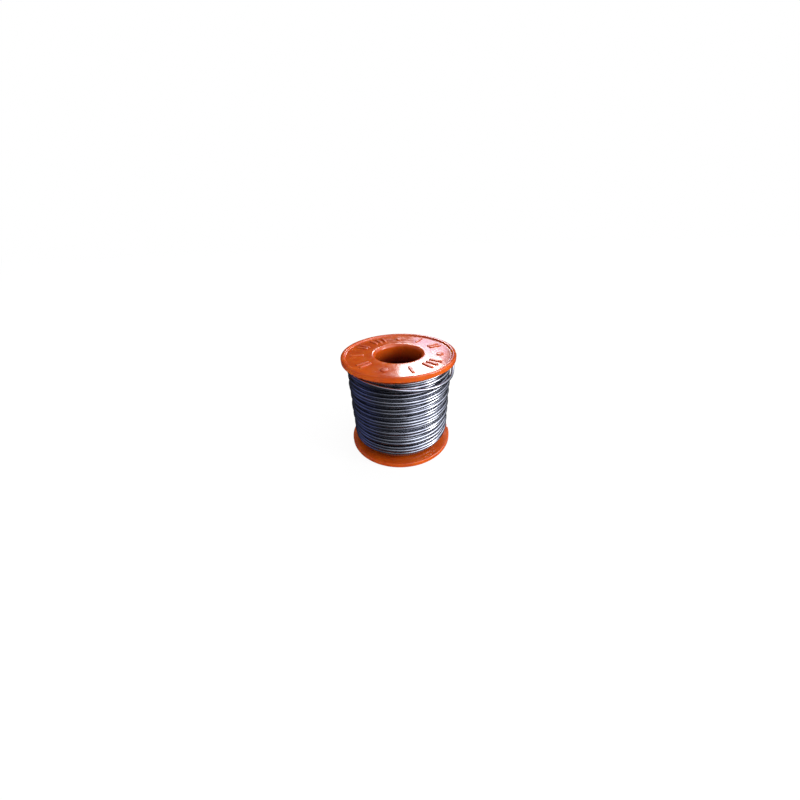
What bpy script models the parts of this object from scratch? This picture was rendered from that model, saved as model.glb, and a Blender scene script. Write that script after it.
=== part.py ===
"""Solder wire spool: two moulded flanges pressed into a core tube, with solder wire wound between them.

Run with: blender --background --python part.py

Units are metres and +Z is up. The origin is the centre of the lower flange's rim, which the spool
stands on, and the spool turns about Z. The two flanges come from one mould, so they share a mesh.
Neighbouring pieces keep a small working gap, also where the real ones are pressed together.
"""

import math

import bmesh
import bpy
from mathutils import Matrix

MM = 0.001

# Driving dimensions
SPOOL_HEIGHT = 55.0 * MM
FLANGE_RADIUS = 30.0 * MM
BORE_RADIUS = 12.3 * MM
WIRE_DIAMETER = 1.6 * MM
LAYER_COUNT = 9
GAP = 0.3 * MM

# Flange: a flat web with a raised rim bead outside and a short sleeve round the bore inside
WEB_THICKNESS = 2.0 * MM
BEAD_HEIGHT = 0.8 * MM
BEAD_WIDTH = 2.2 * MM
BEAD_OUTER_ROUND = 0.8 * MM
BEAD_INNER_ROUND = 0.6 * MM
RIM_INNER_ROUND = 0.5 * MM
MOUTH_ROUND = 1.8 * MM
SLEEVE_WALL = 1.6 * MM
SLEEVE_LENGTH = 8.0 * MM
SLEEVE_LEAD_IN = 0.4 * MM
FLANGE_THICKNESS = BEAD_HEIGHT + WEB_THICKNESS
SLEEVE_RADIUS = BORE_RADIUS + SLEEVE_WALL

# Keys on the sleeve that stop the flange turning in the core tube
KEY_COUNT = 3
KEY_WIDTH = 1.8 * MM
KEY_HEIGHT = 0.9 * MM
KEY_LENGTH = 4.0 * MM

# Notch in the rim that holds the free end of the wire
NOTCH_WIDTH = WIRE_DIAMETER + 2 * GAP
NOTCH_DEPTH = 2.6 * MM
NOTCH_ANGLE = math.radians(-4)

# Raised marks on the flange's outer face: plain bars and pips, all in one ring of slots
MARK_RADIUS = 21.6 * MM
MARK_HEIGHT = 0.5 * MM
MARK_ROOT = 0.6 * MM
BAR_LENGTH = 7.0 * MM
BAR_WIDTH = 1.5 * MM
PIP_RADIUS = 1.9 * MM
TWIN_SPREAD = math.radians(7)
FAN_SPREAD = math.radians(9)
MARK_SLOTS = ("bar", "fan", "pip", "twin", "bar", "pip", "fan", "twin", "bar", "twin", "pip")
FIRST_MARK_ANGLE = math.radians(75)

# Core tube that the wire is wound on
CORE_WALL = 0.9 * MM
CORE_INNER_RADIUS = SLEEVE_RADIUS + GAP
CORE_RADIUS = CORE_INNER_RADIUS + CORE_WALL

# Winding: each layer of wire is a plain ring, the outermost one out to the wire's own surface. The
# outermost layers stop short of the lower flange, each a little higher than the one below it
LAYER_PITCH = WIRE_DIAMETER * math.sin(math.radians(60))
FIRST_LAYER_RADIUS = CORE_RADIUS + GAP / 6 + WIRE_DIAMETER / 2
RING_HALF_THICKNESS = (LAYER_PITCH - GAP) / 2
WINDING_BOTTOM = FLANGE_THICKNESS + GAP
WINDING_TOP = SPOOL_HEIGHT - WINDING_BOTTOM
SHOULDER_LAYERS = 2
SHOULDER_RISE = 1.4 * MM
WINDING_RADIUS = FIRST_LAYER_RADIUS + (LAYER_COUNT - 1) * LAYER_PITCH + WIRE_DIAMETER / 2

# Starting end of the wire: it lies on the core tube's inner wall and comes out through a slot, turning
# the same way as the winding
START_HEIGHT = FLANGE_THICKNESS + SLEEVE_LENGTH + 2.5 * MM
START_ANGLE = math.radians(150)
START_TURN = math.radians(95)
START_DIP_TURN = math.radians(40)
START_OUTER_RADIUS = FIRST_LAYER_RADIUS - RING_HALF_THICKNESS - GAP - WIRE_DIAMETER / 2
START_INNER_RADIUS = CORE_INNER_RADIUS - GAP - WIRE_DIAMETER / 2
SLOT_LENGTH = 15.0 * MM

# Free end of the wire: it leaves the winding sideways, turns up and sits in the upper rim's notch
FREE_END_RADIUS = WINDING_RADIUS + GAP + WIRE_DIAMETER / 2
FREE_END_TURN = math.radians(22)
FREE_END_START = SPOOL_HEIGHT - 9.5 * MM
FREE_END_UPRIGHT = SPOOL_HEIGHT - FLANGE_THICKNESS - GAP
FREE_END_TOP = SPOOL_HEIGHT - 0.4 * MM

# Fineness of round shapes
FLANGE_STEPS = 48
CORE_STEPS = 48
RING_STEPS = 40
ARC_STEPS = 3
PIP_SIDES = 16
TAIL_POINTS = 18
WIRE_BEVEL_RESOLUTION = 2
MERGE_DISTANCE = 0.00001


def clear_scene():
    """Removes whatever the file opened with."""
    for obj in list(bpy.data.objects):
        bpy.data.objects.remove(obj)


def new_collection(name):
    collection = bpy.data.collections.new(name)
    bpy.context.scene.collection.children.link(collection)
    return collection


def new_material(name, color, roughness, metallic):
    material = bpy.data.materials.new(name)
    material.use_nodes = True
    shader = material.node_tree.nodes["Principled BSDF"]
    shader.inputs["Base Color"].default_value = (*color, 1.0)
    shader.inputs["Roughness"].default_value = roughness
    shader.inputs["Metallic"].default_value = metallic
    return material


def add_object(name, data, collection, material=None):
    obj = bpy.data.objects.new(name, data)
    collection.objects.link(obj)
    if material:
        data.materials.append(material)
    return obj


def arc(center_r, center_z, radius, start_deg, end_deg, steps=ARC_STEPS):
    """Points (r, z) on a circular arc in the profile plane, both ends included."""
    angles = [
        math.radians(start_deg + (end_deg - start_deg) * i / steps) for i in range(steps + 1)
    ]
    return [
        (center_r + radius * math.cos(a), center_z + radius * math.sin(a)) for a in angles
    ]


def profile_mesh(name, points):
    """A closed loop of edges in the XZ plane, for a Screw modifier to turn about Z."""
    mesh = bpy.data.meshes.new(name)
    edges = [(i, (i + 1) % len(points)) for i in range(len(points))]
    mesh.from_pydata([(r, 0, z) for r, z in points], edges, [])
    return mesh


def turned(name, points, steps, collection, material=None):
    """A profile turned once round Z. Its points run down the outer side and up the inner side."""
    obj = add_object(name, profile_mesh(name, points), collection, material)
    screw = obj.modifiers.new("Turn", "SCREW")
    screw.axis = "Z"
    screw.angle = math.tau
    screw.steps = screw.render_steps = steps
    screw.use_merge_vertices = True
    screw.merge_threshold = MERGE_DISTANCE
    return obj


def smooth_by_angle(obj):
    obj.data.shade_smooth()
    obj.data.set_sharp_from_angle(angle=math.radians(35))


def box_tool(name, size, matrix, collection):
    """A box helper for a Boolean, centred on the matrix."""
    mesh = bpy.data.meshes.new(name)
    form = bmesh.new()
    bmesh.ops.create_cube(form, size=1.0)
    bmesh.ops.scale(form, vec=size, verts=form.verts)
    form.to_mesh(mesh)
    form.free()
    return helper(name, mesh, matrix, collection)


def disc_tool(name, radius, height, matrix, collection):
    """A round helper for a Boolean, centred on the matrix."""
    mesh = bpy.data.meshes.new(name)
    form = bmesh.new()
    bmesh.ops.create_cone(
        form, cap_ends=True, segments=PIP_SIDES, radius1=radius, radius2=radius, depth=height
    )
    form.to_mesh(mesh)
    form.free()
    return helper(name, mesh, matrix, collection)


def helper(name, mesh, matrix, collection):
    obj = add_object(name, mesh, collection)
    obj.matrix_world = matrix
    obj.hide_render = True
    obj.display_type = "WIRE"
    return obj


def at_angle(angle, radius, height):
    """The place at that radius and height, turned about Z so that its X points outwards."""
    return Matrix.Rotation(angle, 4, "Z") @ Matrix.Translation((radius, 0, height))


def combine(obj, tools, operation):
    """Adds one Boolean for each helper."""
    for tool in tools:
        boolean = obj.modifiers.new(tool.name, "BOOLEAN")
        boolean.operation = operation
        boolean.solver = "EXACT"
        boolean.object = tool


def baked_mesh(obj, name):
    """The object's evaluated mesh as a mesh of its own; the object is removed."""
    bpy.context.view_layer.update()
    graph = bpy.context.evaluated_depsgraph_get()
    mesh = bpy.data.meshes.new_from_object(obj.evaluated_get(graph))
    mesh.name = name
    bpy.data.objects.remove(obj)
    return mesh


def flange_profile():
    """The flange's section with its outer face down: rim at the floor, sleeve pointing up."""
    web_outer = BEAD_HEIGHT
    web_inner = FLANGE_THICKNESS
    sleeve_end = FLANGE_THICKNESS + SLEEVE_LENGTH
    bead_inner_edge = FLANGE_RADIUS - BEAD_WIDTH
    return [
        (SLEEVE_RADIUS - SLEEVE_LEAD_IN, sleeve_end),
        (SLEEVE_RADIUS, sleeve_end - SLEEVE_LEAD_IN),
        (SLEEVE_RADIUS, web_inner),
        *arc(FLANGE_RADIUS - RIM_INNER_ROUND, web_inner - RIM_INNER_ROUND, RIM_INNER_ROUND, 90, 0),
        *arc(FLANGE_RADIUS - BEAD_OUTER_ROUND, BEAD_OUTER_ROUND, BEAD_OUTER_ROUND, 0, -90),
        *arc(bead_inner_edge + BEAD_INNER_ROUND, BEAD_INNER_ROUND, BEAD_INNER_ROUND, 270, 180),
        (bead_inner_edge - BEAD_INNER_ROUND / 2, web_outer),
        *arc(BORE_RADIUS + MOUTH_ROUND, web_outer + MOUTH_ROUND, MOUTH_ROUND, 270, 180),
        (BORE_RADIUS, sleeve_end),
    ]


def mark_tools(collection):
    """Helpers for the raised marks, sunk into the web so that they join it."""
    height = BEAD_HEIGHT + (MARK_ROOT - MARK_HEIGHT) / 2
    size = (BAR_LENGTH, BAR_WIDTH, MARK_ROOT + MARK_HEIGHT)
    turns = {
        "bar": [0],
        "twin": [-TWIN_SPREAD / 2, TWIN_SPREAD / 2],
        "fan": [-FAN_SPREAD, 0, FAN_SPREAD],
    }
    tools = []
    for slot, motif in enumerate(MARK_SLOTS):
        middle = FIRST_MARK_ANGLE - slot * math.tau / len(MARK_SLOTS)
        if motif == "pip":
            place = at_angle(middle, MARK_RADIUS, height)
            tools.append(disc_tool(f"mark_{slot}", PIP_RADIUS, size[2], place, collection))
            continue
        for stroke, turn in enumerate(turns[motif]):
            place = at_angle(middle + turn, MARK_RADIUS, height)
            tools.append(box_tool(f"mark_{slot}_{stroke}", size, place, collection))
    return tools


def key_tools(collection):
    """Helpers for the keys along the sleeve, next to the web."""
    overlap = SLEEVE_WALL / 2
    size = (KEY_HEIGHT + overlap, KEY_WIDTH, KEY_LENGTH + overlap)
    radius = SLEEVE_RADIUS + (KEY_HEIGHT - overlap) / 2
    height = FLANGE_THICKNESS + (KEY_LENGTH - overlap) / 2
    return [
        box_tool(f"key_{i}", size, at_angle(math.tau * i / KEY_COUNT, radius, height), collection)
        for i in range(KEY_COUNT)
    ]


def notch_tool(collection):
    """The helper that cuts the wire notch right through the rim."""
    reach = 2 * NOTCH_DEPTH
    size = (reach, NOTCH_WIDTH, 3 * FLANGE_THICKNESS)
    radius = FLANGE_RADIUS - NOTCH_DEPTH + reach / 2
    # The upper flange is this one turned over about X, which reverses the angle.
    return box_tool("notch", size, at_angle(-NOTCH_ANGLE, radius, FLANGE_THICKNESS / 2), collection)


def moulded_flange(helpers, material):
    """The mesh that both flanges share, with its outer face down."""
    blank = turned("flange_blank", flange_profile(), FLANGE_STEPS, helpers, material)
    combine(blank, mark_tools(helpers) + key_tools(helpers), "UNION")
    combine(blank, [notch_tool(helpers)], "DIFFERENCE")
    return baked_mesh(blank, "moulded_flange")


def add_flanges(parts, helpers, material):
    mesh = moulded_flange(helpers, material)
    lower = add_object("lower_flange", mesh, parts)
    smooth_by_angle(lower)
    upper = add_object("upper_flange", mesh, parts)
    upper.location = (0, 0, SPOOL_HEIGHT)
    upper.rotation_euler = (math.pi, 0, 0)


def add_core_tube(parts, helpers, material):
    """The tube between the flanges, keyed at both ends and slotted for the start of the wire."""
    bottom = FLANGE_THICKNESS + GAP
    top = SPOOL_HEIGHT - bottom
    profile = [
        (CORE_RADIUS, top),
        (CORE_RADIUS, bottom),
        (CORE_INNER_RADIUS, bottom),
        (CORE_INNER_RADIUS, top),
    ]
    tube = turned("core_tube", profile, CORE_STEPS, parts, material)
    cut_height = 2 * (KEY_LENGTH + GAP)
    size = (4 * CORE_WALL, KEY_WIDTH + 2 * GAP, cut_height)
    radius = (CORE_RADIUS + CORE_INNER_RADIUS) / 2
    cutters = []
    for end, height in (("lower", FLANGE_THICKNESS), ("upper", SPOOL_HEIGHT - FLANGE_THICKNESS)):
        for i in range(KEY_COUNT):
            # The keys of the upper flange are turned over with it, which keeps their angles.
            place = at_angle(math.tau * i / KEY_COUNT, radius, height)
            cutters.append(box_tool(f"keyway_{end}_{i}", size, place, helpers))
    slot_size = (6 * CORE_WALL, SLOT_LENGTH, WIRE_DIAMETER + 2 * GAP)
    slot_place = at_angle(START_ANGLE - START_DIP_TURN / 2, radius, START_HEIGHT)
    cutters.append(box_tool("start_slot", slot_size, slot_place, helpers))
    combine(tube, cutters, "DIFFERENCE")


def add_winding(parts, material):
    """One ring for each layer of wire, the innermost first."""
    for layer in range(1, LAYER_COUNT + 1):
        middle = FIRST_LAYER_RADIUS + (layer - 1) * LAYER_PITCH
        inner = middle - RING_HALF_THICKNESS
        outer = WINDING_RADIUS if layer == LAYER_COUNT else middle + RING_HALF_THICKNESS
        bottom = WINDING_BOTTOM + SHOULDER_RISE * max(0, layer - LAYER_COUNT + SHOULDER_LAYERS)
        profile = [
            (outer, WINDING_TOP),
            (outer, bottom),
            (inner, bottom),
            (inner, WINDING_TOP),
        ]
        turned(f"wire_layer_{layer:02d}", profile, RING_STEPS, parts, material)


def ease(t):
    """0 to 1 with no slope at either end."""
    return t * t * (3 - 2 * t)


def on_cylinder(radius, angle, height):
    return (radius * math.cos(angle), radius * math.sin(angle), height)


def start_route():
    """From the first layer in through the slot, then along the core tube's inner wall."""
    points = []
    for i in range(TAIL_POINTS):
        turn = START_TURN * i / (TAIL_POINTS - 1)
        dip = ease(min(1.0, turn / START_DIP_TURN))
        radius = START_OUTER_RADIUS + (START_INNER_RADIUS - START_OUTER_RADIUS) * dip
        points.append(on_cylinder(radius, START_ANGLE - turn, START_HEIGHT))
    return points


def free_end_route():
    """Round the top of the winding, up on a quarter of an ellipse, then straight through the notch."""
    rise = FREE_END_UPRIGHT - FREE_END_START
    points = []
    for i in range(TAIL_POINTS):
        sweep = (math.pi / 2) * i / (TAIL_POINTS - 1)
        angle = NOTCH_ANGLE - FREE_END_TURN * (1 - math.sin(sweep))
        height = FREE_END_START + rise * (1 - math.cos(sweep))
        points.append(on_cylinder(FREE_END_RADIUS, angle, height))
    points.append(on_cylinder(FREE_END_RADIUS, NOTCH_ANGLE, FREE_END_TOP))
    return points


def add_wire(name, points, parts, material):
    """A solid round wire along the points."""
    curve = bpy.data.curves.new(name, "CURVE")
    curve.dimensions = "3D"
    curve.bevel_depth = WIRE_DIAMETER / 2
    curve.bevel_resolution = WIRE_BEVEL_RESOLUTION
    curve.use_fill_caps = True
    spline = curve.splines.new("POLY")
    spline.points.add(len(points) - 1)
    for place, point in zip(spline.points, points):
        place.co = (*point, 1.0)
    add_object(name, curve, parts, material)


def main():
    clear_scene()
    parts = new_collection("solder_wire_spool")
    helpers = new_collection("cutters")
    plastic = new_material("orange_plastic", (0.80, 0.17, 0.03), 0.28, 0.0)
    solder = new_material("bright_solder", (0.62, 0.63, 0.66), 0.30, 1.0)
    add_flanges(parts, helpers, plastic)
    add_core_tube(parts, helpers, plastic)
    add_winding(parts, solder)
    add_wire("wire_start_end", start_route(), parts, solder)
    add_wire("wire_free_end", free_end_route(), parts, solder)


main()
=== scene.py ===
"""Looks of a solder wire spool.

Two glossy orange flanges pressed into a core tube carry about 29 m of solder wire. The wire is one
strand: it starts inside the core tube, is wound in nine layers whose turns bunch and leave valleys,
crosses the top turns on the front and ends in a notch in the upper rim.

Units are metres, +Z is up and the spool's axis is the Z axis.
"""

from __future__ import annotations

import logging
import math
from dataclasses import dataclass, field
from enum import Enum
from typing import Iterable, Sequence

import bmesh
import bpy
import numpy as np
from mathutils import Matrix, Vector


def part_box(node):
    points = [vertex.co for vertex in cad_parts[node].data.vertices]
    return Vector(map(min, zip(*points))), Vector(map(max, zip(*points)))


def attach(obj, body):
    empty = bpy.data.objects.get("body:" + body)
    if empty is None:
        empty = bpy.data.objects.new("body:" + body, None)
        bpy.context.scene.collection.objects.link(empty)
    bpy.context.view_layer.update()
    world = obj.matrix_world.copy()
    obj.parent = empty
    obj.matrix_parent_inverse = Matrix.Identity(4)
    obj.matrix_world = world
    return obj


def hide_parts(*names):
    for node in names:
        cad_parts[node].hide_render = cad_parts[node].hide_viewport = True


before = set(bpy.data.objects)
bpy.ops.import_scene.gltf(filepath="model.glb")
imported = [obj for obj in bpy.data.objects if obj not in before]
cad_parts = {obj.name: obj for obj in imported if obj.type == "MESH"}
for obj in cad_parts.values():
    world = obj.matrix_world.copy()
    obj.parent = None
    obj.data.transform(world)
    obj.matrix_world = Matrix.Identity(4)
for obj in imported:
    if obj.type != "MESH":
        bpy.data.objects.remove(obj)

LOG = logging.getLogger("solder_wire_spool")

MM = 0.001
TAU = math.tau
BODY = "root"
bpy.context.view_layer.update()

Grid = np.ndarray
Color = tuple[float, float, float]


# ---- Small numeric helpers ----


def smoothstep(x: Grid) -> Grid:
    """Eases from 0 to 1 with no slope at either end: 3x^2 - 2x^3, with x held between 0 and 1."""
    x = np.clip(x, 0.0, 1.0)
    return x * x * (3.0 - 2.0 * x)


def arc(center: tuple[float, float], radius: float, start: float, end: float, steps: int) -> Grid:
    """Points on a circular arc in the (radius, height) plane.

    Args:
        center: The arc's centre.
        radius: The arc's radius.
        start: Where it starts, in degrees.
        end: Where it ends, in degrees.
        steps: How many chords it has.

    Returns:
        The points, one row each: centre + radius * (cos, sin).
    """
    angle = np.radians(np.linspace(start, end, steps + 1))
    return np.asarray(center) + radius * np.stack([np.cos(angle), np.sin(angle)], axis=1)


def run(start: Sequence[float], end: Sequence[float], steps: int) -> Grid:
    """Points evenly along the straight line between two places, both included."""
    share = np.linspace(0.0, 1.0, steps + 1)[:, None]
    return np.asarray(start) * (1.0 - share) + np.asarray(end) * share


def joined(*stretches: Grid) -> Grid:
    """One outline out of several stretches, with points that repeat at their ends left out."""
    points = np.concatenate(stretches)
    step = np.linalg.norm(np.diff(points, axis=0), axis=1)
    return points[np.concatenate([[True], step > 1e-7])]


# ---- Meshes from grids ----


def linked(name: str, data: bpy.types.ID) -> bpy.types.Object:
    """Makes an object from its data and links it to the scene."""
    obj = bpy.data.objects.new(name, data)
    bpy.context.scene.collection.objects.link(obj)
    return obj


def grid_faces(rows: int, columns: int, wrap_rows: bool, wrap_columns: bool) -> Grid:
    """Quads of a grid of rows * columns points, wound so that row x column points outwards.

    Args:
        rows: How many rows the grid has.
        columns: How many columns it has.
        wrap_rows: Whether the last row joins the first.
        wrap_columns: Whether the last column joins the first.

    Returns:
        Four point numbers for each quad.
    """
    row = np.arange(rows if wrap_rows else rows - 1)[:, None]
    column = np.arange(columns if wrap_columns else columns - 1)[None, :]
    row, column = np.broadcast_arrays(row, column)
    next_row, next_column = (row + 1) % rows, (column + 1) % columns
    corners = [
        row * columns + column,
        next_row * columns + column,
        next_row * columns + next_column,
        row * columns + next_column,
    ]
    return np.stack([corner.ravel() for corner in corners], axis=1)


@dataclass
class Surface:
    """A shape given as grids of points, which becomes one mesh object."""

    name: str
    points: list[Grid] = field(default_factory=list)
    faces: list[Grid] = field(default_factory=list)
    uvs: list[Grid] = field(default_factory=list)
    count: int = 0

    def add(
        self,
        grid: Grid,
        wrap_rows: bool = False,
        wrap_columns: bool = False,
        uv: Grid | None = None,
    ) -> None:
        """Adds one grid of points.

        Args:
            grid: The points, as an array of rows * columns * 3.
            wrap_rows: Whether the last row joins the first.
            wrap_columns: Whether the last column joins the first.
            uv: A pair of numbers for each point, rows * columns * 2, or nothing.
        """
        rows, columns = grid.shape[:2]
        faces = grid_faces(rows, columns, wrap_rows, wrap_columns)
        self.points.append(grid.reshape(-1, 3))
        self.faces.append(faces + self.count)
        place = np.zeros((rows * columns, 2)) if uv is None else uv.reshape(-1, 2)
        self.uvs.append(place[faces.ravel()])
        self.count += rows * columns

    def build(self, smooth_angle: float = 40.0) -> bpy.types.Object:
        """Makes the object, closes its poles and turns its faces outwards.

        Args:
            smooth_angle: Edges that bend by more than this many degrees stay sharp.

        Returns:
            The object, linked to the scene, at the origin.
        """
        points = np.concatenate(self.points)
        faces = np.concatenate(self.faces)
        mesh = bpy.data.meshes.new(self.name)
        mesh.vertices.add(len(points))
        mesh.vertices.foreach_set("co", points.astype(np.float32).ravel())
        mesh.loops.add(faces.size)
        mesh.loops.foreach_set("vertex_index", faces.astype(np.int32).ravel())
        mesh.polygons.add(len(faces))
        mesh.polygons.foreach_set("loop_start", np.arange(0, faces.size, 4, dtype=np.int32))
        layer = mesh.uv_layers.new(name="surface")
        mesh.update(calc_edges=True)
        layer.data.foreach_set("uv", np.concatenate(self.uvs).astype(np.float32).ravel())
        close_poles(mesh)
        mesh.shade_smooth()
        mesh.set_sharp_from_angle(angle=math.radians(smooth_angle))
        return linked(self.name, mesh)


def close_poles(mesh: bpy.types.Mesh) -> None:
    """Merges points that lie on each other, as at a pole, and turns the faces outwards."""
    form = bmesh.new()
    form.from_mesh(mesh)
    bmesh.ops.remove_doubles(form, verts=form.verts, dist=1e-8)
    bmesh.ops.dissolve_degenerate(form, edges=form.edges, dist=1e-9)
    bmesh.ops.recalc_face_normals(form, faces=form.faces)
    form.to_mesh(mesh)
    form.free()


def turned_grid(outline: Grid, angles: Grid) -> Grid:
    """An outline carried round the Z axis.

    A point (r, z) of the outline at the angle a is (r cos a, r sin a, z).

    Args:
        outline: Rows of (radius, height).
        angles: The angle of each copy, in radians.

    Returns:
        The grid, with one row for each angle.
    """
    radius, height = outline[:, 0][None, :], outline[:, 1][None, :]
    turn = angles[:, None]
    return np.stack([radius * np.cos(turn), radius * np.sin(turn), height + 0.0 * turn], axis=2)


def tube_grid(path: Grid, outward: Grid, radii: Grid, sides: int) -> tuple[Grid, Grid]:
    """A round tube along a path.

    At each point of the path the ring is centre + radius * (cos a * n + sin a * b), where b is the
    tangent crossed with the outward direction and n is b crossed with the tangent.

    Args:
        path: The tube's centre line, one point a row.
        outward: A direction for each point that is never along the path.
        radii: The tube's radius at each point. A radius of 0 closes the tube.
        sides: How many sides the tube has.

    Returns:
        The grid of points, and for each its (length along the path, share of the way round).
    """
    tangent = np.gradient(path, axis=0)
    tangent /= np.linalg.norm(tangent, axis=1)[:, None]
    side = np.cross(tangent, outward)
    side /= np.linalg.norm(side, axis=1)[:, None]
    normal = np.cross(side, tangent)
    turn = np.arange(sides) * TAU / sides
    ring = (
        np.cos(turn)[None, :, None] * normal[:, None, :]
        + np.sin(turn)[None, :, None] * side[:, None, :]
    )
    grid = path[:, None, :] + radii[:, None, None] * ring
    length = np.concatenate([[0.0], np.cumsum(np.linalg.norm(np.diff(path, axis=0), axis=1))])
    share = np.arange(sides) / sides
    uv = np.stack(np.broadcast_arrays(length[:, None], share[None, :]), axis=2)
    return grid, uv


# ---- Shader maths ----


class Value:
    """A shader socket that can be used in Python expressions, each of which adds a Math node."""

    def __init__(self, graph: "Graph", socket: bpy.types.NodeSocket) -> None:
        """Keeps the socket and the graph that it belongs to."""
        self.graph = graph
        self.socket = socket

    def _math(self, operation: str, other: "Number") -> "Value":
        """Adds one Math node and returns its result."""
        return self.graph.node("ShaderNodeMath", {"operation": operation}, {0: self, 1: other})

    def __add__(self, other: "Number") -> "Value":
        """self + other."""
        return self._math("ADD", other)

    def __sub__(self, other: "Number") -> "Value":
        """self - other."""
        return self._math("SUBTRACT", other)

    def __mul__(self, other: "Number") -> "Value":
        """self * other."""
        return self._math("MULTIPLY", other)

    def power(self, exponent: "Number") -> "Value":
        """self raised to a power."""
        return self._math("POWER", exponent)

    __radd__ = __add__
    __rmul__ = __mul__


Number = Value | float


class Graph:
    """A tree of shader nodes, and the means to add to it."""

    def __init__(self, tree: bpy.types.NodeTree) -> None:
        """Keeps the tree."""
        self.tree = tree

    def node(
        self,
        kind: str,
        settings: dict[str, object] | None = None,
        inputs: dict[int | str, object] | None = None,
        output: int | str = 0,
    ) -> Value:
        """Adds one node.

        Args:
            kind: The node's type.
            settings: Its properties, which are set first.
            inputs: For each socket, a value or the socket that feeds it.
            output: Which of its outputs to return.

        Returns:
            The output, ready for expressions.
        """
        node = self.tree.nodes.new(kind)
        for key, value in (settings or {}).items():
            setattr(node, key, value)
        for key, value in (inputs or {}).items():
            self.feed(node.inputs[key], value)
        return Value(self, node.outputs[output])

    def feed(self, socket: bpy.types.NodeSocket, value: object) -> None:
        """Links a Value to the socket, or sets the socket's own number or colour."""
        if isinstance(value, Value):
            self.tree.links.new(value.socket, socket)
        else:
            socket.default_value = value

    def place(self, kind: str = "Object") -> Value:
        """Coordinates of one kind: "Object" in metres, "UV" along a surface, or "Generated"."""
        return self.node("ShaderNodeTexCoord", output=kind)

    def axes(self, vector: Value) -> tuple[Value, Value, Value]:
        """The three parts of a vector."""
        outputs = self.node("ShaderNodeSeparateXYZ", {}, {0: vector}).socket.node.outputs
        return Value(self, outputs[0]), Value(self, outputs[1]), Value(self, outputs[2])

    def stretched(self, vector: Value, scale: Sequence[float]) -> Value:
        """The coordinates scaled along each axis."""
        inputs = {"Vector": vector, "Scale": scale}
        return self.node("ShaderNodeMapping", {"vector_type": "POINT"}, inputs)

    def noise(self, vector: Value, scale: float, detail: float = 3.0, rough: float = 0.55) -> Value:
        """Smooth noise between 0 and 1."""
        inputs = {"Vector": vector, "Scale": scale, "Detail": detail, "Roughness": rough}
        return self.node("ShaderNodeTexNoise", {"noise_dimensions": "3D"}, inputs)

    def remap(self, value: Value, low: float, high: float, to: tuple[float, float]) -> Value:
        """The value taken from low..high to the new range, held inside it."""
        source = {"Value": value, "From Min": low, "From Max": high}
        target = {"To Min": to[0], "To Max": to[1]}
        return self.node("ShaderNodeMapRange", {"clamp": True}, source | target)

    def mix(self, share: Number, first: object, second: object) -> Value:
        """A colour between two others."""
        inputs = {0: share, 6: first, 7: second}
        return self.node("ShaderNodeMix", {"data_type": "RGBA"}, inputs, output=2)

    def either(self, share: Number, first: Value, second: Value) -> Value:
        """One shader where the share is 0 and another where it is 1."""
        return self.node("ShaderNodeMixShader", {}, {0: share, 1: first, 2: second})

    def ray_is(self, kind: str) -> Value:
        """1 for rays of one kind, such as "Camera" or "Glossy", and 0 for the others."""
        return self.node("ShaderNodeLightPath", output=f"Is {kind} Ray")


class Shader(Graph):
    """One material with a Principled BSDF."""

    def __init__(self, name: str) -> None:
        """Starts a material that holds only its Principled BSDF and its output."""
        self.material = bpy.data.materials.new(name)
        self.material.use_nodes = True
        super().__init__(self.material.node_tree)
        self.surface = self.tree.nodes["Principled BSDF"]
        self.output = self.tree.nodes["Material Output"]

    def constant(self, **values: object) -> None:
        """Sets the shader's own sockets, named with underscores for spaces."""
        for key, value in values.items():
            self.surface.inputs[key.replace("_", " ")].default_value = value

    def varying(self, socket: str, value: Value) -> None:
        """Feeds one of the shader's sockets with what changes over the surface."""
        self.feed(self.surface.inputs[socket], value)

    def bump(self, height: Value, distance: float, strength: float = 1.0) -> None:
        """Lets a height field tilt the surface's normal."""
        inputs = {"Height": height, "Distance": distance, "Strength": strength}
        self.varying("Normal", self.node("ShaderNodeBump", {}, inputs))


def opaque(color: Color) -> tuple[float, float, float, float]:
    """The colour with full alpha."""
    return (*color, 1.0)


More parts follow.
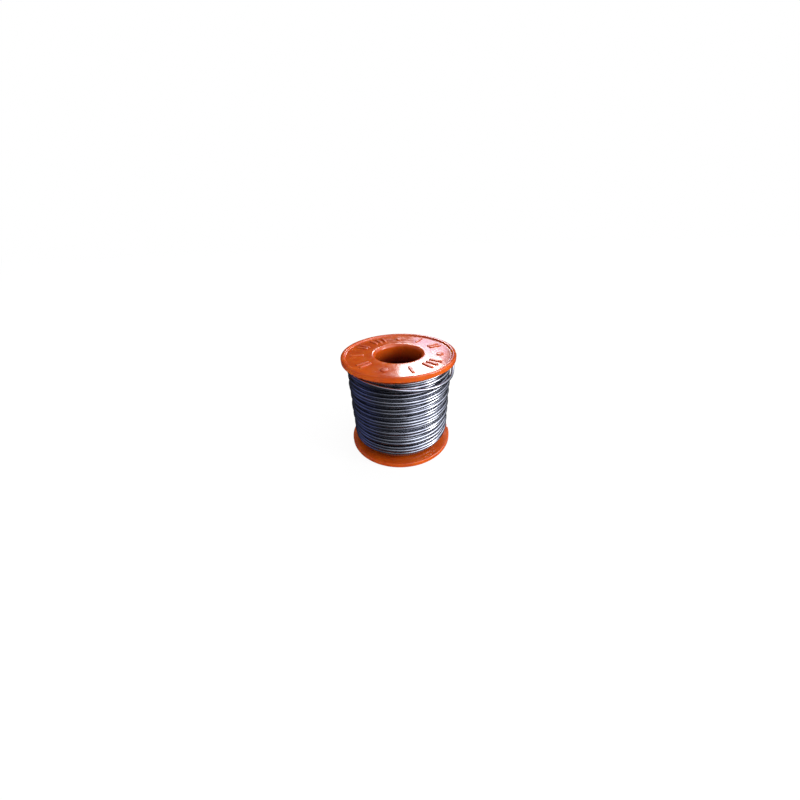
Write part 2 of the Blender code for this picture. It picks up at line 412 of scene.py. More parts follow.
@dataclass(frozen=True)
class MouldedPlastic:
    """Glossy moulded polystyrene that lets a little light through."""

    name: str
    color: Color = (0.67, 0.112, 0.007)
    deep_color: Color = (0.53, 0.066, 0.005)
    # painted shade: the dark maroon that the colour turns to deep in the bore
    shaded_color: Color = (0.12, 0.010, 0.004)
    roughness: float = 0.14
    worn_roughness: float = 0.34
    glow: float = 0.25
    glow_depth: float = 1.6 * MM
    grain: float = 0.007 * MM
    height: float = 55.0 * MM
    bore_edge: float = 14.3 * MM
    edge_blur: float = 0.5 * MM
    shade_start: float = 2.4 * MM
    shade_top: float = 9.0 * MM

    def painted_bore_shade(self, shader: Shader, place: Value) -> Value:
        """How far a place lies deep in the bore, as a mask of painted shade: the colour is darkened
        there to stand in for the shade inside the bore and for the light that the wire behind the
        thin wall keeps from coming through.

        It is 1 inside the radius bore_edge and from shade_top below an outer face on, and falls
        off smoothly towards the mouths.
        """
        x, y, z = shader.axes(place)
        radius = (x * x + y * y).power(0.5)
        edge = self.bore_edge
        inside = shader.remap(radius, edge, edge + self.edge_blur, (1.0, 0.0))
        top_start, top_end = self.height - self.shade_top, self.height - self.shade_start
        upper = shader.remap(z, top_start, top_end, (1.0, 0.0))
        lower = shader.remap(z, self.shade_start, self.shade_top, (0.0, 1.0))
        return inside * upper * lower

    def material(self) -> bpy.types.Material:
        """Builds the finish: flow marks in the colour, painted shade deep in the bore, smudges in
        the gloss, faint ripple.
        """
        shader = Shader(self.name)
        place = shader.place()
        flow = shader.noise(shader.stretched(place, (1.0, 1.0, 0.4)), 90.0, 4.0)
        smudge = shader.noise(place, 260.0, 5.0, 0.62)
        scuff = shader.noise(shader.stretched(place, (1.0, 0.12, 1.0)), 2400.0, 2.0)
        shade = shader.remap(flow, 0.36, 0.66, (0.0, 1.0))
        outer = shader.mix(shade, opaque(self.deep_color), opaque(self.color))
        # painted shade: the base colour darkens to shaded_color deep in the bore, where shade falls
        bore_shade = self.painted_bore_shade(shader, place)
        shader.varying("Base Color", shader.mix(bore_shade, outer, opaque(self.shaded_color)))
        scuffs = shader.remap(scuff, 0.62, 0.8, (0.0, 1.0))
        wear = shader.remap(smudge, 0.45, 0.74, (0.0, 1.0)) + 0.35 * scuffs
        gloss = self.roughness + (self.worn_roughness - self.roughness) * wear
        shader.varying("Roughness", gloss)
        ripple = 0.7 * shader.noise(place, 420.0, 2.0) + 0.3 * shader.noise(place, 3600.0, 1.0)
        shader.bump(ripple, self.grain)
        shader.constant(
            Subsurface_Weight=self.glow,
            Subsurface_Radius=(1.0, 0.28, 0.06),
            Subsurface_Scale=self.glow_depth,
            Coat_Weight=0.15,
            Coat_Roughness=0.08,
            IOR=1.55,
        )
        return shader.material


@dataclass(frozen=True)
class SolderMetal:
    """Drawn tin-lead wire: bright where it is fresh, duller and bluer where it has oxidised."""

    name: str
    bright: Color = (0.60, 0.61, 0.64)
    dull: Color = (0.32, 0.33, 0.38)
    roughness: float = 0.18
    dull_roughness: float = 0.34
    draw_marks: float = 0.010 * MM

    def material(self) -> bpy.types.Material:
        """Builds the finish from patches of oxide and from fine marks along the wire."""
        shader = Shader(self.name)
        place = shader.place()
        along = shader.place("UV")
        patches = shader.noise(shader.stretched(place, (1.0, 1.0, 2.2)), 120.0, 4.0)
        smears = shader.noise(shader.stretched(along, (90.0, 3.0, 1.0)), 1.0, 3.0)
        marks = shader.noise(shader.stretched(along, (260.0, 14.0, 1.0)), 1.0, 2.0)
        oxide = shader.remap(0.55 * patches + 0.45 * smears, 0.42, 0.62, (0.0, 1.0))
        shader.varying("Base Color", shader.mix(oxide, opaque(self.bright), opaque(self.dull)))
        gloss = self.roughness + (self.dull_roughness - self.roughness) * oxide
        shader.varying("Roughness", gloss + 0.10 * (marks - 0.5))
        shader.bump(0.6 * marks + 0.4 * smears, self.draw_marks)
        shader.constant(Metallic=1.0)
        return shader.material


# ---- Pieces ----


def show(obj: bpy.types.Object, material: bpy.types.Material, slot: str, *nodes: str) -> None:
    """Gives a finished piece its material and ties it to the frame.

    Args:
        obj: The piece.
        material: Its finish.
        slot: The record's material slot. It is not used.
        nodes: The CAD nodes that it stands for.
    """
    obj.data.materials.clear()
    obj.data.materials.append(material)
    if nodes:
        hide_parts(*nodes)
    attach(obj, BODY)
    LOG.info("%s: %d faces, for %s", obj.name, len(obj.data.polygons), ", ".join(nodes) or "detail")


class Side(Enum):
    """Which end of the spool a flange closes."""

    LOWER = "lower"
    UPPER = "upper"


class Mark(Enum):
    """The plain raised marks on a flange's outer face."""

    BAR = "bar"
    TWIN = "twin"
    FAN = "fan"
    PIP = "pip"


@dataclass(frozen=True)
class SpoolSizes:
    """Sizes that the pieces share, taken from the frame where it holds them."""

    height: float
    flange_radius: float
    flange_thickness: float = 2.8 * MM
    bore_radius: float = 12.3 * MM
    sleeve_radius: float = 13.9 * MM
    sleeve_length: float = 8.0 * MM
    core_inner_radius: float = 14.2 * MM
    core_radius: float = 15.1 * MM
    wire_radius: float = 0.8 * MM
    layers: int = 9
    notch_angle: float = math.radians(-4)

    @classmethod
    def from_frame(cls) -> "SpoolSizes":
        """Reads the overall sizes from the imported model."""
        low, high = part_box("upper_flange")
        base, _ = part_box("lower_flange")
        return cls(height=high[2] - base[2], flange_radius=(high[0] - low[0]) / 2)

    @property
    def layer_pitch(self) -> float:
        """How far apart two layers lie when each beds into the one below."""
        return 2 * self.wire_radius * math.sin(math.radians(60))

    @property
    def first_layer(self) -> float:
        """The radius of the innermost layer's centre line."""
        return self.core_radius + 0.05 * MM + self.wire_radius


@dataclass
class Flange:
    """One moulded flange: web, rim bead, bore mouth, sleeve, wire notch and raised marks."""

    sizes: SpoolSizes
    side: Side
    bead_height: float = 0.8 * MM
    bead_width: float = 2.2 * MM
    bead_outer_round: float = 0.8 * MM
    bead_inner_round: float = 0.6 * MM
    bead_foot_round: float = 0.5 * MM
    bead_foot: float = 0.9 * MM
    sleeve_root: float = 0.35 * MM
    rim_inner_round: float = 0.5 * MM
    mouth_round: float = 1.8 * MM
    lead_in: float = 0.4 * MM
    notch_half_width: float = 1.1 * MM
    notch_depth: float = 2.6 * MM
    notch_round: float = 0.35 * MM
    mark_radius: float = 21.6 * MM
    mark_height: float = 0.5 * MM
    mark_root: float = 0.4 * MM
    mark_inset: float = 0.35 * MM
    mark_sides: int = 32
    mark_levels: int = 15
    bar_length: float = 7.0 * MM
    bar_width: float = 1.5 * MM
    pip_radius: float = 1.9 * MM
    twin_spread: float = math.radians(7)
    fan_spread: float = math.radians(9)
    first_mark: float = math.radians(75)
    marks: tuple[Mark, ...] = (
        Mark.BAR, Mark.FAN, Mark.PIP, Mark.TWIN, Mark.BAR, Mark.PIP,
        Mark.FAN, Mark.TWIN, Mark.BAR, Mark.TWIN, Mark.PIP,
    )
    steps: int = 360

    def outline(self) -> Grid:
        """The section as (radius, height), outer face at height 0, from sleeve end round to it."""
        s = self.sizes
        web_out, web_in = self.bead_height, s.flange_thickness
        end = s.flange_thickness + s.sleeve_length
        bead_edge = s.flange_radius - self.bead_width
        root, foot, inner = self.sleeve_root, self.bead_foot_round, self.bead_inner_round
        outer, edge, mouth = self.bead_outer_round, self.rim_inner_round, self.mouth_round
        neck, throat = s.sleeve_radius + root, s.bore_radius + mouth
        return joined(
            np.array([[s.sleeve_radius - self.lead_in, end]]),
            run((s.sleeve_radius, end - self.lead_in), (s.sleeve_radius, web_in + root), 2),
            arc((neck, web_in + root), root, 180, 270, 4),
            run((neck, web_in), (s.flange_radius - edge, web_in), 8),
            arc((s.flange_radius - edge, web_in - edge), edge, 90, 0, 7),
            arc((s.flange_radius - outer, outer), outer, 0, -90, 9),
            arc((bead_edge + inner, inner), inner, 270, 195, 7),
            arc((bead_edge - foot, web_out - foot), foot, 30, 90, 4),
            run((bead_edge - self.bead_foot, web_out), (throat, web_out), 10),
            arc((throat, web_out + mouth), mouth, 270, 180, 12),
            run((s.bore_radius, web_out + mouth + foot), (s.bore_radius, end), 4),
        )

    def angles(self) -> Grid:
        """The turning angles: even all round, and close together at the notch's two walls."""
        even = np.arange(self.steps) * TAU / self.steps
        edge = self.notch_half_width / self.sizes.flange_radius
        reach = 1.6 * self.notch_round / self.sizes.flange_radius
        local = np.linspace(-reach, reach, 9)
        middle = self.notch_angle
        dense = np.concatenate([middle - edge + local, middle + edge + local]) % TAU
        every = np.sort(np.concatenate([even, dense]))
        return every[np.concatenate([[True], np.diff(every) > 1e-5])]

    @property
    def notch_angle(self) -> float:
        """The notch's angle in the flange's own frame, outer face down."""
        return -self.sizes.notch_angle

    def notched(self, grid: Grid, angles: Grid) -> Grid:
        """Pulls the rim in at the notch.

        Every radius is held under a limit, which is the flange's radius away from the notch and
        falls by the notch's depth inside it, along a smooth step at each wall.
        """
        s = self.sizes
        offset = (angles - self.notch_angle + math.pi) % TAU - math.pi
        away = (np.abs(offset) * s.flange_radius - self.notch_half_width) / self.notch_round
        limit = s.flange_radius - self.notch_depth * (1.0 - smoothstep(0.5 + 0.5 * away))
        radius = np.hypot(grid[..., 0], grid[..., 1])
        held = np.minimum(radius, limit[:, None] + 1e-6 * np.arange(grid.shape[1])[None, :] * MM)
        scale = np.where(radius > 0, held / radius, 1.0)
        grid[..., :2] *= scale[..., None]
        return grid

    def placed(self, grid: Grid) -> Grid:
        """Puts a grid made with the outer face down at its end of the spool.

        The upper flange is turned over about X: y becomes -y and z becomes the height minus z.
        """
        if self.side is Side.LOWER:
            return grid
        return grid * np.array([1.0, -1.0, -1.0]) + np.array([0.0, 0.0, self.sizes.height])

    def body(self) -> bpy.types.Object:
        """The turned moulding with its notch."""
        angles = self.angles()
        grid = self.notched(turned_grid(self.outline(), angles), angles)
        surface = Surface(f"{self.side.value}_flange_moulding")
        surface.add(self.placed(grid), wrap_rows=True, wrap_columns=True)
        return surface.build(32.0)

    def strokes(self) -> Iterable[tuple[float, bool]]:
        """The angle of each raised stroke, and whether it is a round pip."""
        spreads = {
            Mark.BAR: (0.0,),
            Mark.TWIN: (-self.twin_spread / 2, self.twin_spread / 2),
            Mark.FAN: (-self.fan_spread, 0.0, self.fan_spread),
            Mark.PIP: (0.0,),
        }
        for slot, mark in enumerate(self.marks):
            middle = self.first_mark - slot * TAU / len(self.marks)
            for turn in spreads[mark]:
                yield middle + turn, mark is Mark.PIP

    def raised(self, angle: float, is_pip: bool) -> Grid:
        """One raised mark as a closed cushion.

        With s from -1 to 1 down its height and a round it, the mark is a superellipse of the power
        2 for a pip and 8 for a bar, whose size follows (1 - |s|^5)^(1/5), so that its top is
        almost flat with rounded edges.
        """
        power = 2.0 if is_pip else 8.0
        long_half = self.pip_radius if is_pip else self.bar_length / 2
        wide_half = self.pip_radius if is_pip else self.bar_width / 2
        turn = np.linspace(0.0, TAU, self.mark_sides + 1)[:-1]
        level = np.sin(np.linspace(-math.pi / 2, math.pi / 2, self.mark_levels))
        size = (1.0 - np.abs(level) ** 5.0).clip(0.0) ** (1.0 / 5.0)
        reach = (np.abs(np.cos(turn)) ** power + np.abs(np.sin(turn)) ** power) ** (-1.0 / power)
        half_height = (self.mark_height + self.mark_root) / 2
        inset = self.mark_inset * (1.0 - size)
        along = reach * np.cos(turn) * long_half
        across = reach * np.sin(turn) * wide_half
        shrink_long = size[:, None] * (1.0 - inset[:, None] / long_half)
        shrink_wide = size[:, None] * (1.0 - inset[:, None] / wide_half)
        x = self.mark_radius + along[None, :] * shrink_long
        y = across[None, :] * shrink_wide
        z = self.bead_height + (self.mark_root - self.mark_height) / 2 - half_height * level
        z = np.broadcast_to(z[:, None], x.shape)
        return np.stack(
            [
                x * math.cos(angle) - y * math.sin(angle),
                x * math.sin(angle) + y * math.cos(angle),
                z,
            ],
            axis=2,
        )

    def face_marks(self) -> bpy.types.Object:
        """All the raised marks of this flange as one piece."""
        surface = Surface(f"{self.side.value}_flange_marks")
        for angle, is_pip in self.strokes():
            surface.add(self.placed(self.raised(angle, is_pip)), wrap_columns=True)
        return surface.build(60.0)

    def make(self, plastic: bpy.types.Material, texture: bpy.types.Material) -> None:
        """Builds and dresses the flange."""
        show(self.body(), plastic, "orange_plastic", f"{self.side.value}_flange")
        show(self.face_marks(), texture, "orange_plastic")


@dataclass
class CoreTube:
    """The tube that joins the flanges, with keyways at its ends and a slot for the wire."""

    sizes: SpoolSizes
    gap: float = 0.3 * MM
    lip: float = 0.15 * MM
    key_count: int = 3
    keyway_width: float = 2.4 * MM
    keyway_length: float = 4.3 * MM
    slot_angle: float = math.radians(130)
    slot_height: float = 13.3 * MM
    slot_size: tuple[float, float] = (15.0 * MM, 2.2 * MM)
    cut_depth: float = 6.0 * MM
    steps: int = 192

    def blank(self) -> bpy.types.Object:
        """The plain tube, with its edges broken."""
        s = self.sizes
        lip, outer, inner = self.lip, s.core_radius, s.core_inner_radius
        low, high = s.flange_thickness + self.gap, s.height - s.flange_thickness - self.gap
        outline = joined(
            arc((outer - lip, high - lip), lip, 90, 0, 3),
            run((outer, high - 2 * lip), (outer, low + 2 * lip), 8),
            arc((outer - lip, low + lip), lip, 0, -90, 3),
            arc((inner + lip, low + lip), lip, 270, 180, 3),
            run((inner, low + 2 * lip), (inner, high - 2 * lip), 8),
            arc((inner + lip, high - lip), lip, 180, 90, 3),
        )
        surface = Surface("core_tube_moulding")
        angles = np.arange(self.steps) * TAU / self.steps
        surface.add(turned_grid(outline, angles), wrap_rows=True, wrap_columns=True)
        return surface.build(32.0)

    def cutter(self, angle: float, height: float, size: tuple[float, float]) -> bpy.types.Object:
        """A box across the wall: size is its width round the tube and its height along it."""
        s = self.sizes
        form = bmesh.new()
        bmesh.ops.create_cube(form, size=1.0)
        bmesh.ops.scale(form, vec=(self.cut_depth, *size), verts=form.verts)
        place = Matrix.Rotation(angle, 4, "Z") @ Matrix.Translation(
            ((s.core_radius + s.core_inner_radius) / 2, 0, height)
        )
        bmesh.ops.transform(form, matrix=place, verts=form.verts)
        mesh = bpy.data.meshes.new("wall_cutter")
        form.to_mesh(mesh)
        form.free()
        return linked("wall_cutter", mesh)

    def make(self, plastic: bpy.types.Material) -> None:
        """Builds the tube, cuts its keyways and slot, and dresses it."""
        s = self.sizes
        tube = self.blank()
        keyway = (self.keyway_width, 2 * self.keyway_length)
        cutters = [
            self.cutter(TAU * turn / self.key_count, height, keyway)
            for height in (s.flange_thickness, s.height - s.flange_thickness)
            for turn in range(self.key_count)
        ]
        cutters.append(self.cutter(self.slot_angle, self.slot_height, self.slot_size))
        for cutter in cutters:
            boolean = tube.modifiers.new("cut", "BOOLEAN")
            boolean.operation = "DIFFERENCE"
            boolean.solver = "EXACT"
            boolean.object = cutter
        bpy.context.view_layer.update()
        graph = bpy.context.evaluated_depsgraph_get()
        mesh = bpy.data.meshes.new_from_object(tube.evaluated_get(graph))
        tube.modifiers.clear()
        tube.data = mesh
        for cutter in cutters:
            bpy.data.objects.remove(cutter)
        show(tube, plastic, "orange_plastic", "core_tube")


@dataclass
class Winding:
    """The whole wire as one strand, layer upon layer, from the core tube to the rim's notch.

    A point of the strand is (r cos a, r sin a, z). The turn number u grows with the angle a. In a
    layer the height changes by one strand's width a turn, plus smooth jumps at random turns, where
    the strand crosses from one bunch to the next and leaves a valley between them.

    The fields in pairs are the lowest and the highest of what is drawn at random: jump_share is a
    jump's part of the spare height, jump_width the turns it takes, and jump_shake how far it moves
    from its even place, in shares of the distance between two.
    """

    sizes: SpoolSizes
    inner_turns: int = 25
    outer_turns: int = 19
    second_turns: int = 22
    valleys: int = 11
    inner_valleys: int = 7
    return_turns: float = 0.3
    shoulder_layers: int = 2
    shoulder_rise: float = 1.4 * MM
    start_angle: float = math.radians(150)
    start_height: float = 13.3 * MM
    start_turn: float = math.radians(95)
    start_dip: float = math.radians(40)
    slack: float = 1.01
    jump_shake: float = 0.42
    jump_share: tuple[float, float] = (0.5, 1.7)
    jump_width: tuple[float, float] = (0.20, 0.90)
    valley_depth: float = 0.42 * MM
    valley_width: float = 0.55
    ride: float = 0.05 * MM
    rise_turns: float = 0.35
    wander: float = 0.42 * MM
    free_turn: float = math.radians(22)
    free_start: float = 9.5 * MM
    free_upright: float = 3.1 * MM
    free_top: float = 0.4 * MM
    fine_layers: int = 3
    coarse_steps: int = 30
    fine_steps: int = 96
    coarse_sides: int = 6
    fine_sides: int = 12
    end_sides: int = 16
    pinch: float = 0.35
    pinch_length: float = 1.2 * MM
    seed: int = 11

    @property
    def bottom(self) -> float:
        """The lowest height of the strand's centre."""
        return self.sizes.flange_thickness + 0.35 * MM + self.sizes.wire_radius

    @property
    def top(self) -> float:
        """The highest height of the strand's centre inside the winding."""
        return self.sizes.height - self.bottom

    @property
    def turn_pitch(self) -> float:
        """How far apart two neighbouring turns lie inside a bunch."""
        return 2 * self.sizes.wire_radius * self.slack

    @property
    def free_radius(self) -> float:
        """The radius at which the free end runs, over the outer layer."""
        s = self.sizes
        return s.first_layer + (s.layers - 1) * s.layer_pitch + 2 * s.wire_radius + 0.1 * MM

    def foot(self, number: int) -> float:
        """The lowest height of a layer: the outermost ones stop short of the lower flange."""
        steps = max(0, number - self.sizes.layers + self.shoulder_layers)
        return self.bottom + self.shoulder_rise * steps

    def turns_of(self, number: int) -> int:
        """How many turns a layer has: fewer in the two outermost, which lie in open bunches."""
        last = self.sizes.layers
        return {last: self.outer_turns, last - 1: self.second_turns}.get(number, self.inner_turns)

    def jumps(self, number: int, rng: np.random.Generator) -> tuple[Grid, Grid, Grid]:
        """Where in a layer the strand jumps, and how far and over how much of a turn.

        The outermost layers jump at the same heights, so that the valleys between bunches are
        more than one strand deep.

        Args:
            number: The layer.
            rng: The source of the other layers' jumps.

        Returns:
            The middles and the sizes as shares of the layer, and the widths in turns.
        """
        shared = number > self.sizes.layers - self.shoulder_layers
        draw = np.random.default_rng(self.seed) if shared else rng
        count = self.valleys if shared else self.inner_valleys
        shake = draw.uniform(-self.jump_shake, self.jump_shake, count)
        middle = (np.arange(count) + 0.5 + shake) / count
        share = draw.uniform(*self.jump_share, count)
        width = draw.uniform(*self.jump_width, count)
        if shared and number % 2 == 0:
            reach = self.top - self.foot(self.sizes.layers)
            middle = (1.0 - middle) * reach / (self.top - self.foot(number))
        return middle, share / share.sum(), width

    def layer(self, number: int, rng: np.random.Generator) -> tuple[Grid, Grid, Grid]:
        """One layer's turns since it began, radii and heights. Layer 1 is at the core."""
        s = self.sizes
        turns, foot = self.turns_of(number), self.foot(number)
        is_fine = number > s.layers - self.fine_layers
        steps = self.fine_steps if is_fine else self.coarse_steps
        u = np.linspace(0.0, turns, turns * steps + 1)
        middle, size, width = self.jumps(number, rng)
        middle, size = middle * turns, size * (self.top - foot - turns * self.turn_pitch)
        from_jump = u[:, None] - middle[None, :]
        climb = self.turn_pitch * u
        climb += (size * smoothstep(from_jump / width[None, :] + 0.5)).sum(axis=1)
        height = foot + climb if number % 2 else self.top - climb
        radius = s.first_layer + (number - 1) * s.layer_pitch
        radius = radius + self.ride * (1.0 + np.sin(2 * TAU * u + number)) / 2
        near = np.exp(-((from_jump / self.valley_width) ** 2)).sum(axis=1)
        radius -= self.valley_depth * np.minimum(near, 1.0)
        if number < s.layers:
            onto_next = smoothstep((u - (turns - self.rise_turns)) / self.rise_turns)
            radius += s.layer_pitch * onto_next
            if number % 2 == 0:
                height += (self.foot(number + 1) - foot) * onto_next
        return u, radius, height

    def shaken(self, angle: Grid, height: Grid) -> Grid:
        """Lets the strands wander up and down together, more at mid-height than at the flanges."""
        share = (height - self.bottom) / (self.top - self.bottom)
        wave = np.sin(angle + 5.0 * share) + 0.6 * np.sin(2 * angle - 7.0 * share + 1.3)
        return height + self.wander * wave * np.sin(math.pi * np.clip(share, 0, 1)) ** 0.5

    def wound(self) -> list[tuple[str, Grid]]:
        """The strand in stretches, as named rows of (turns from the start, radius, height)."""
        s = self.sizes
        rng = np.random.default_rng(self.seed)
        done = 0.0
        stretches = []
        for number in range(1, s.layers + 1):
            u, radius, height = self.layer(number, rng)
            stretches.append((f"wire_layer_{number:02d}", np.stack([u + done, radius, height], 1)))
            done += u[-1]
        stretches.append(("wire_return_turns", self.return_rows(done, stretches[-1][1][-1, 1])))
        return stretches

    def return_rows(self, done: float, radius: float) -> Grid:
        """Rows for the run over the top turns to the free end.

        Args:
            done: The turns wound before it.
            radius: The radius where it begins.
        """
        u = np.linspace(0.0, 1.0, int(self.total_return() * self.fine_steps) + 1)
        drop = self.sizes.height - self.free_start - self.top
        height = self.top + drop * smoothstep((u - 0.25) / 0.75)
        radius = radius + (self.free_radius - radius) * smoothstep((u - 0.2) / 0.3)
        return np.stack([done + u * self.total_return(), radius, height], 1)

    def total_return(self) -> float:
        """The turns of the return run, so that it ends where the free end starts to rise."""
        wound = sum(self.turns_of(number) for number in range(1, self.sizes.layers + 1))
        end = (self.sizes.notch_angle - self.free_turn) / TAU
        begin = self.start_angle / TAU + wound
        return self.return_turns + (end - begin - self.return_turns) % 1.0

    def point(self, rows: Grid) -> tuple[Grid, Grid]:
        """The places of rows of (turns, radius, height), and the direction outwards at each."""
        angle = self.start_angle + TAU * rows[:, 0]
        height = self.shaken(angle, rows[:, 2])
        outward = np.stack([np.cos(angle), np.sin(angle), 0.0 * angle], 1)
        place = outward * rows[:, 1][:, None]
        place[:, 2] = height
        return place, outward

    def start_rows(self) -> Grid:
        """The wire's start: along the core tube's inner wall, then out through the slot."""
        s = self.sizes
        turn = np.linspace(self.start_turn, 0.0, 70)
        inner = s.core_inner_radius - 0.3 * MM - s.wire_radius
        radius = s.first_layer + (inner - s.first_layer) * smoothstep(turn / self.start_dip)
        return np.stack([-turn / TAU, radius, np.full_like(turn, self.start_height)], 1)

    def free_rows(self) -> Grid:
        """The free end: a quarter ellipse from along the winding to upright, then straight."""
        s = self.sizes
        sweep = np.linspace(0.0, math.pi / 2, 60)
        angle = s.notch_angle - self.free_turn * (1.0 - np.sin(sweep))
        rise = self.free_start - self.free_upright
        bend = s.height - self.free_upright - rise * np.cos(sweep)
        upright = np.linspace(bend[-1], s.height - self.free_top, 12)[1:]
        turns = (np.append(angle, np.full_like(upright, s.notch_angle)) - self.start_angle) / TAU
        height = np.append(bend, upright)
        return np.stack([turns, np.full_like(height, self.free_radius), height], 1)

    def strand(self, surface: Surface, rows: Grid, sides: int, cut: tuple[bool, bool]) -> float:
        """Adds one stretch of the strand to a surface, closed at both ends.

        Args:
            surface: Where the stretch goes.
            rows: Its (turns, radius, height).
            sides: How round it is.
            cut: Whether its start and its end are pinched by the cutters.

        Returns:
            Its length in metres.
        """
        place, outward = self.point(rows)
        step = np.linalg.norm(np.diff(place, axis=0), axis=1)
        length = float(step.sum())
        along = np.concatenate([[0.0], np.cumsum(step)])
        radii = np.full(len(place), self.sizes.wire_radius)
        for is_cut, distance in zip(cut, (along, length - along)):
            if is_cut:
                radii *= self.pinch + (1.0 - self.pinch) * smoothstep(distance / self.pinch_length)
        place = np.concatenate([place[:1], place, place[-1:]])
        outward = np.concatenate([outward[:1], outward, outward[-1:]])
        radii = np.concatenate([[0.0], radii, [0.0]])
        place[0] += (place[1] - place[2]) * 0.01
        place[-1] += (place[-2] - place[-3]) * 0.01
        grid, uv = tube_grid(place, outward, radii, sides)
        surface.add(grid, wrap_columns=True, uv=uv)
        return length

    def make(self, metal: bpy.types.Material) -> None:
        """Builds and dresses every stretch of the wire."""
        total = 0.0
        fine_from = self.sizes.layers - self.fine_layers
        for index, (name, rows) in enumerate(self.wound(), start=1):
            surface = Surface(name + "_strand")
            sides = self.fine_sides if index > fine_from else self.coarse_sides
            total += self.strand(surface, rows, sides, (False, False))
            nodes = [name] if index <= self.sizes.layers else []
            show(surface.build(60.0), metal, "solder", *nodes)
        for name, rows, cut in (
            ("wire_start_end", self.start_rows(), (True, False)),
            ("wire_free_end", self.free_rows(), (False, True)),
        ):
            surface = Surface(name + "_strand")
            total += self.strand(surface, rows, self.end_sides, cut)
            show(surface.build(60.0), metal, "solder", name)
        LOG.info("wire: %.1f m in all", total)


# ---- Studio ----


@dataclass(frozen=True)
class View:
    """A camera in front of the spool, close to it and above it, with a wide lens.

    The distance and the height are measured from the middle of the spool's base, in flange
    diameters. The pitch and the roll are in degrees, the lens in millimetres, and the shift in
    shares of the picture's width.
    """

    distance: float = 2.075
    height: float = 1.732
    pitch: float = 32.99
    roll: float = -1.92
    lens: float = 11.25
    shift: tuple[float, float] = (0.0, 0.002875)
    sensor_width: float = 36.0

    def make(self, diameter: float) -> None:
        """Adds the camera for a flange of this diameter, looking along +Y, tipped and rolled."""
        data = bpy.data.cameras.new("studio_camera")
        data.sensor_width = self.sensor_width
        data.lens = self.lens
        data.shift_x, data.shift_y = self.shift
        data.clip_start = 0.005
        data.clip_end = 50.0
        camera = linked("studio_camera", data)
        tip, roll = math.radians(self.pitch), math.radians(self.roll)
        forward = Vector((0.0, math.cos(tip), -math.sin(tip)))
        right = Vector((1.0, 0.0, 0.0))
        up = Vector((0.0, math.sin(tip), math.cos(tip)))
        across = math.cos(roll) * right + math.sin(roll) * up
        upward = -math.sin(roll) * right + math.cos(roll) * up
        turn = Matrix((across, upward, -forward)).transposed()
        place = Matrix.Translation((0.0, -self.distance * diameter, self.height * diameter))
        camera.matrix_world = place @ turn.to_4x4()
        bpy.context.scene.camera = camera


@dataclass(frozen=True)
class Softbox:
    """A rectangular lamp that faces the spool's middle."""

    name: str
    place: tuple[float, float, float]
    size: tuple[float, float]
    power: float
    color: Color = (1.0, 1.0, 1.0)
    aim: tuple[float, float, float] = (0.0, 0.0, 0.03)

    def make(self) -> None:
        """Adds the lamp."""
        data = bpy.data.lights.new(self.name, "AREA")
        data.shape = "RECTANGLE"
        data.size, data.size_y = self.size
        data.energy = self.power
        data.color = self.color
        lamp = linked(self.name, data)
        lamp.location = self.place
        toward = Vector(self.aim) - Vector(self.place)
        lamp.rotation_euler = toward.to_track_quat("-Z", "Y").to_euler()


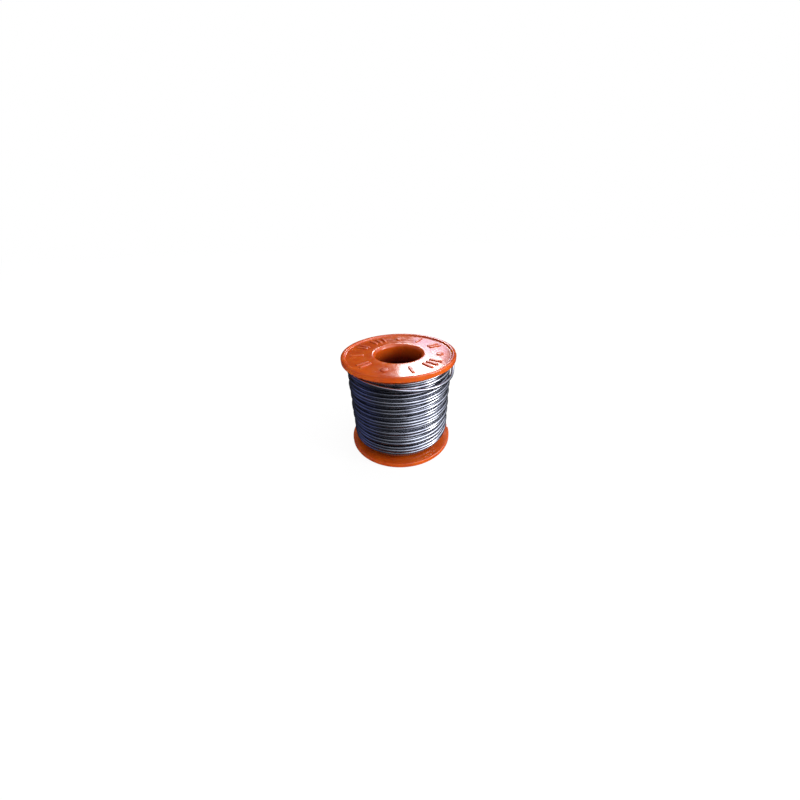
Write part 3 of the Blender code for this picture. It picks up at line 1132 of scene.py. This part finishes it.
@dataclass(frozen=True)
class Studio:
    """A pale floor, a white surround and soft lights.

    Metal and gloss need something dark to reflect, so reflections see a dim room in place of the
    white surround: bluish on the left, bright on the right and overhead.
    """

    floor_size: float = 6.0
    floor_rings: int = 12
    floor_sides: int = 96
    floor_color: Color = (0.97, 0.97, 0.97)
    floor_emission: float = 0.25
    floor_reflected: Color = (0.020, 0.020, 0.026)
    floor_whiteness: float = 0.88
    blue_side: Color = (0.045, 0.060, 0.20)
    grey_side: Color = (0.115, 0.120, 0.140)
    room_strength: float = 0.15
    lamps: tuple[Softbox, ...] = (
        Softbox("window_behind", (0.085, 0.79, 0.49), (0.17, 0.17), 1.35, (1.0, 0.95, 0.98)),
        Softbox("window_below_it", (0.125, 0.79, 0.345), (0.13, 0.09), 0.13, (0.76, 0.70, 1.0)),
        Softbox("softbox_right", (0.75, -0.22, 0.34), (0.30, 0.30), 3.2),
    )

    def floor(self) -> None:
        """A large pale disc on the plane that the spool stands on."""
        radius = np.concatenate([[0.0], np.geomspace(0.05, self.floor_size, self.floor_rings)])
        outline = np.stack([radius, np.full_like(radius, -0.02 * MM)], 1)
        surface = Surface("studio_floor")
        angles = np.arange(self.floor_sides) * TAU / self.floor_sides
        surface.add(turned_grid(outline, angles), wrap_rows=True)
        obj = surface.build()
        obj.data.materials.append(self.floor_material())

    def floor_material(self) -> bpy.types.Material:
        """A matt white that looks dark in reflections and shows shadows only faintly."""
        shader = Shader("pale_floor")
        grain = shader.noise(shader.place(), 30.0, 2.0)
        tint = shader.remap(grain, 0.3, 0.7, (0.0, 1.0))
        darker = tuple(0.99 * c for c in self.floor_color)
        shader.varying("Base Color", shader.mix(tint, opaque(darker), opaque(self.floor_color)))
        shader.constant(
            Roughness=0.8,
            Specular_IOR_Level=0.1,
            Emission_Color=opaque(self.floor_color),
            Emission_Strength=self.floor_emission,
        )
        matt = Value(shader, shader.surface.outputs[0])
        dim = shader.node("ShaderNodeEmission", {}, {"Color": opaque(self.floor_reflected)})
        pale = shader.node("ShaderNodeEmission", {}, {"Color": opaque((1.0, 1.0, 1.0))})
        lit = shader.either(shader.ray_is("Glossy"), matt, dim)
        seen = shader.either(self.floor_whiteness * shader.ray_is("Camera"), lit, pale)
        shader.feed(shader.output.inputs["Surface"], seen)
        return shader.material

    def surround(self) -> None:
        """White where seen, brighter from the right as light, dim and bluish in reflections."""
        world = bpy.data.worlds.new("studio_surround")
        bpy.context.scene.world = world
        world.use_nodes = True
        world.node_tree.nodes.clear()
        graph = Graph(world.node_tree)
        right, back, up = graph.axes(graph.place("Generated"))
        pure = opaque((1.0, 1.0, 1.0))
        white = self.light(graph, pure, 1.0)
        fill = self.light(graph, pure, graph.remap(right, -0.9, 1.0, (0.15, 1.6)))
        side = graph.remap(right, -0.95, -0.50, (0.0, 1.0))
        tone = graph.mix(side, opaque(self.blue_side), opaque(self.grey_side))
        front = graph.remap(back, 0.45, 0.80, (1.0, 0.0))
        level = graph.remap(up, -0.10, 0.30, (0.0, 1.0))
        ceiling = graph.remap(up, 0.42, 0.75, (0.0, 1.0))
        overhead = ceiling * graph.remap(right, -0.5, 0.5, (1.5, 11.0))
        right_wall = graph.remap(right, 0.08, 0.50, (0.0, 8.6))
        left_wall = graph.remap(right, -0.97, -0.72, (1.5, 0.0))
        walls = right_wall * graph.remap(back, -0.6, 0.1, (1.6, 0.85)) + left_wall
        room = self.light(graph, tone, self.room_strength + front * (overhead + level * walls))
        light = graph.either(graph.ray_is("Glossy"), fill, room)
        output = world.node_tree.nodes.new("ShaderNodeOutputWorld")
        graph.feed(output.inputs["Surface"], graph.either(graph.ray_is("Camera"), light, white))

    def light(self, graph: Graph, color: object, strength: Number) -> Value:
        """A background light of one colour and strength."""
        return graph.node("ShaderNodeBackground", {}, {"Color": color, "Strength": strength})

    def make(self) -> None:
        """Builds the studio."""
        self.floor()
        self.surround()
        for lamp in self.lamps:
            lamp.make()
        scene = bpy.context.scene
        scene.view_settings.view_transform = "Standard"
        scene.view_settings.look = "None"


def main() -> None:
    """Builds the camera, the spool and the studio in order."""
    logging.basicConfig(level=logging.INFO, format="%(message)s")
    sizes = SpoolSizes.from_frame()
    View().make(2 * sizes.flange_radius)
    plastic = MouldedPlastic("orange_plastic_gloss").material()
    rougher = MouldedPlastic("orange_plastic_texture", roughness=0.34, worn_roughness=0.5)
    texture = rougher.material()
    solder = SolderMetal("bright_solder_wire").material()
    for side in Side:
        Flange(sizes, side).make(plastic, texture)
    CoreTube(sizes).make(plastic)
    Winding(sizes).make(solder)
    Studio().make()


if __name__ == "__main__":
    main()
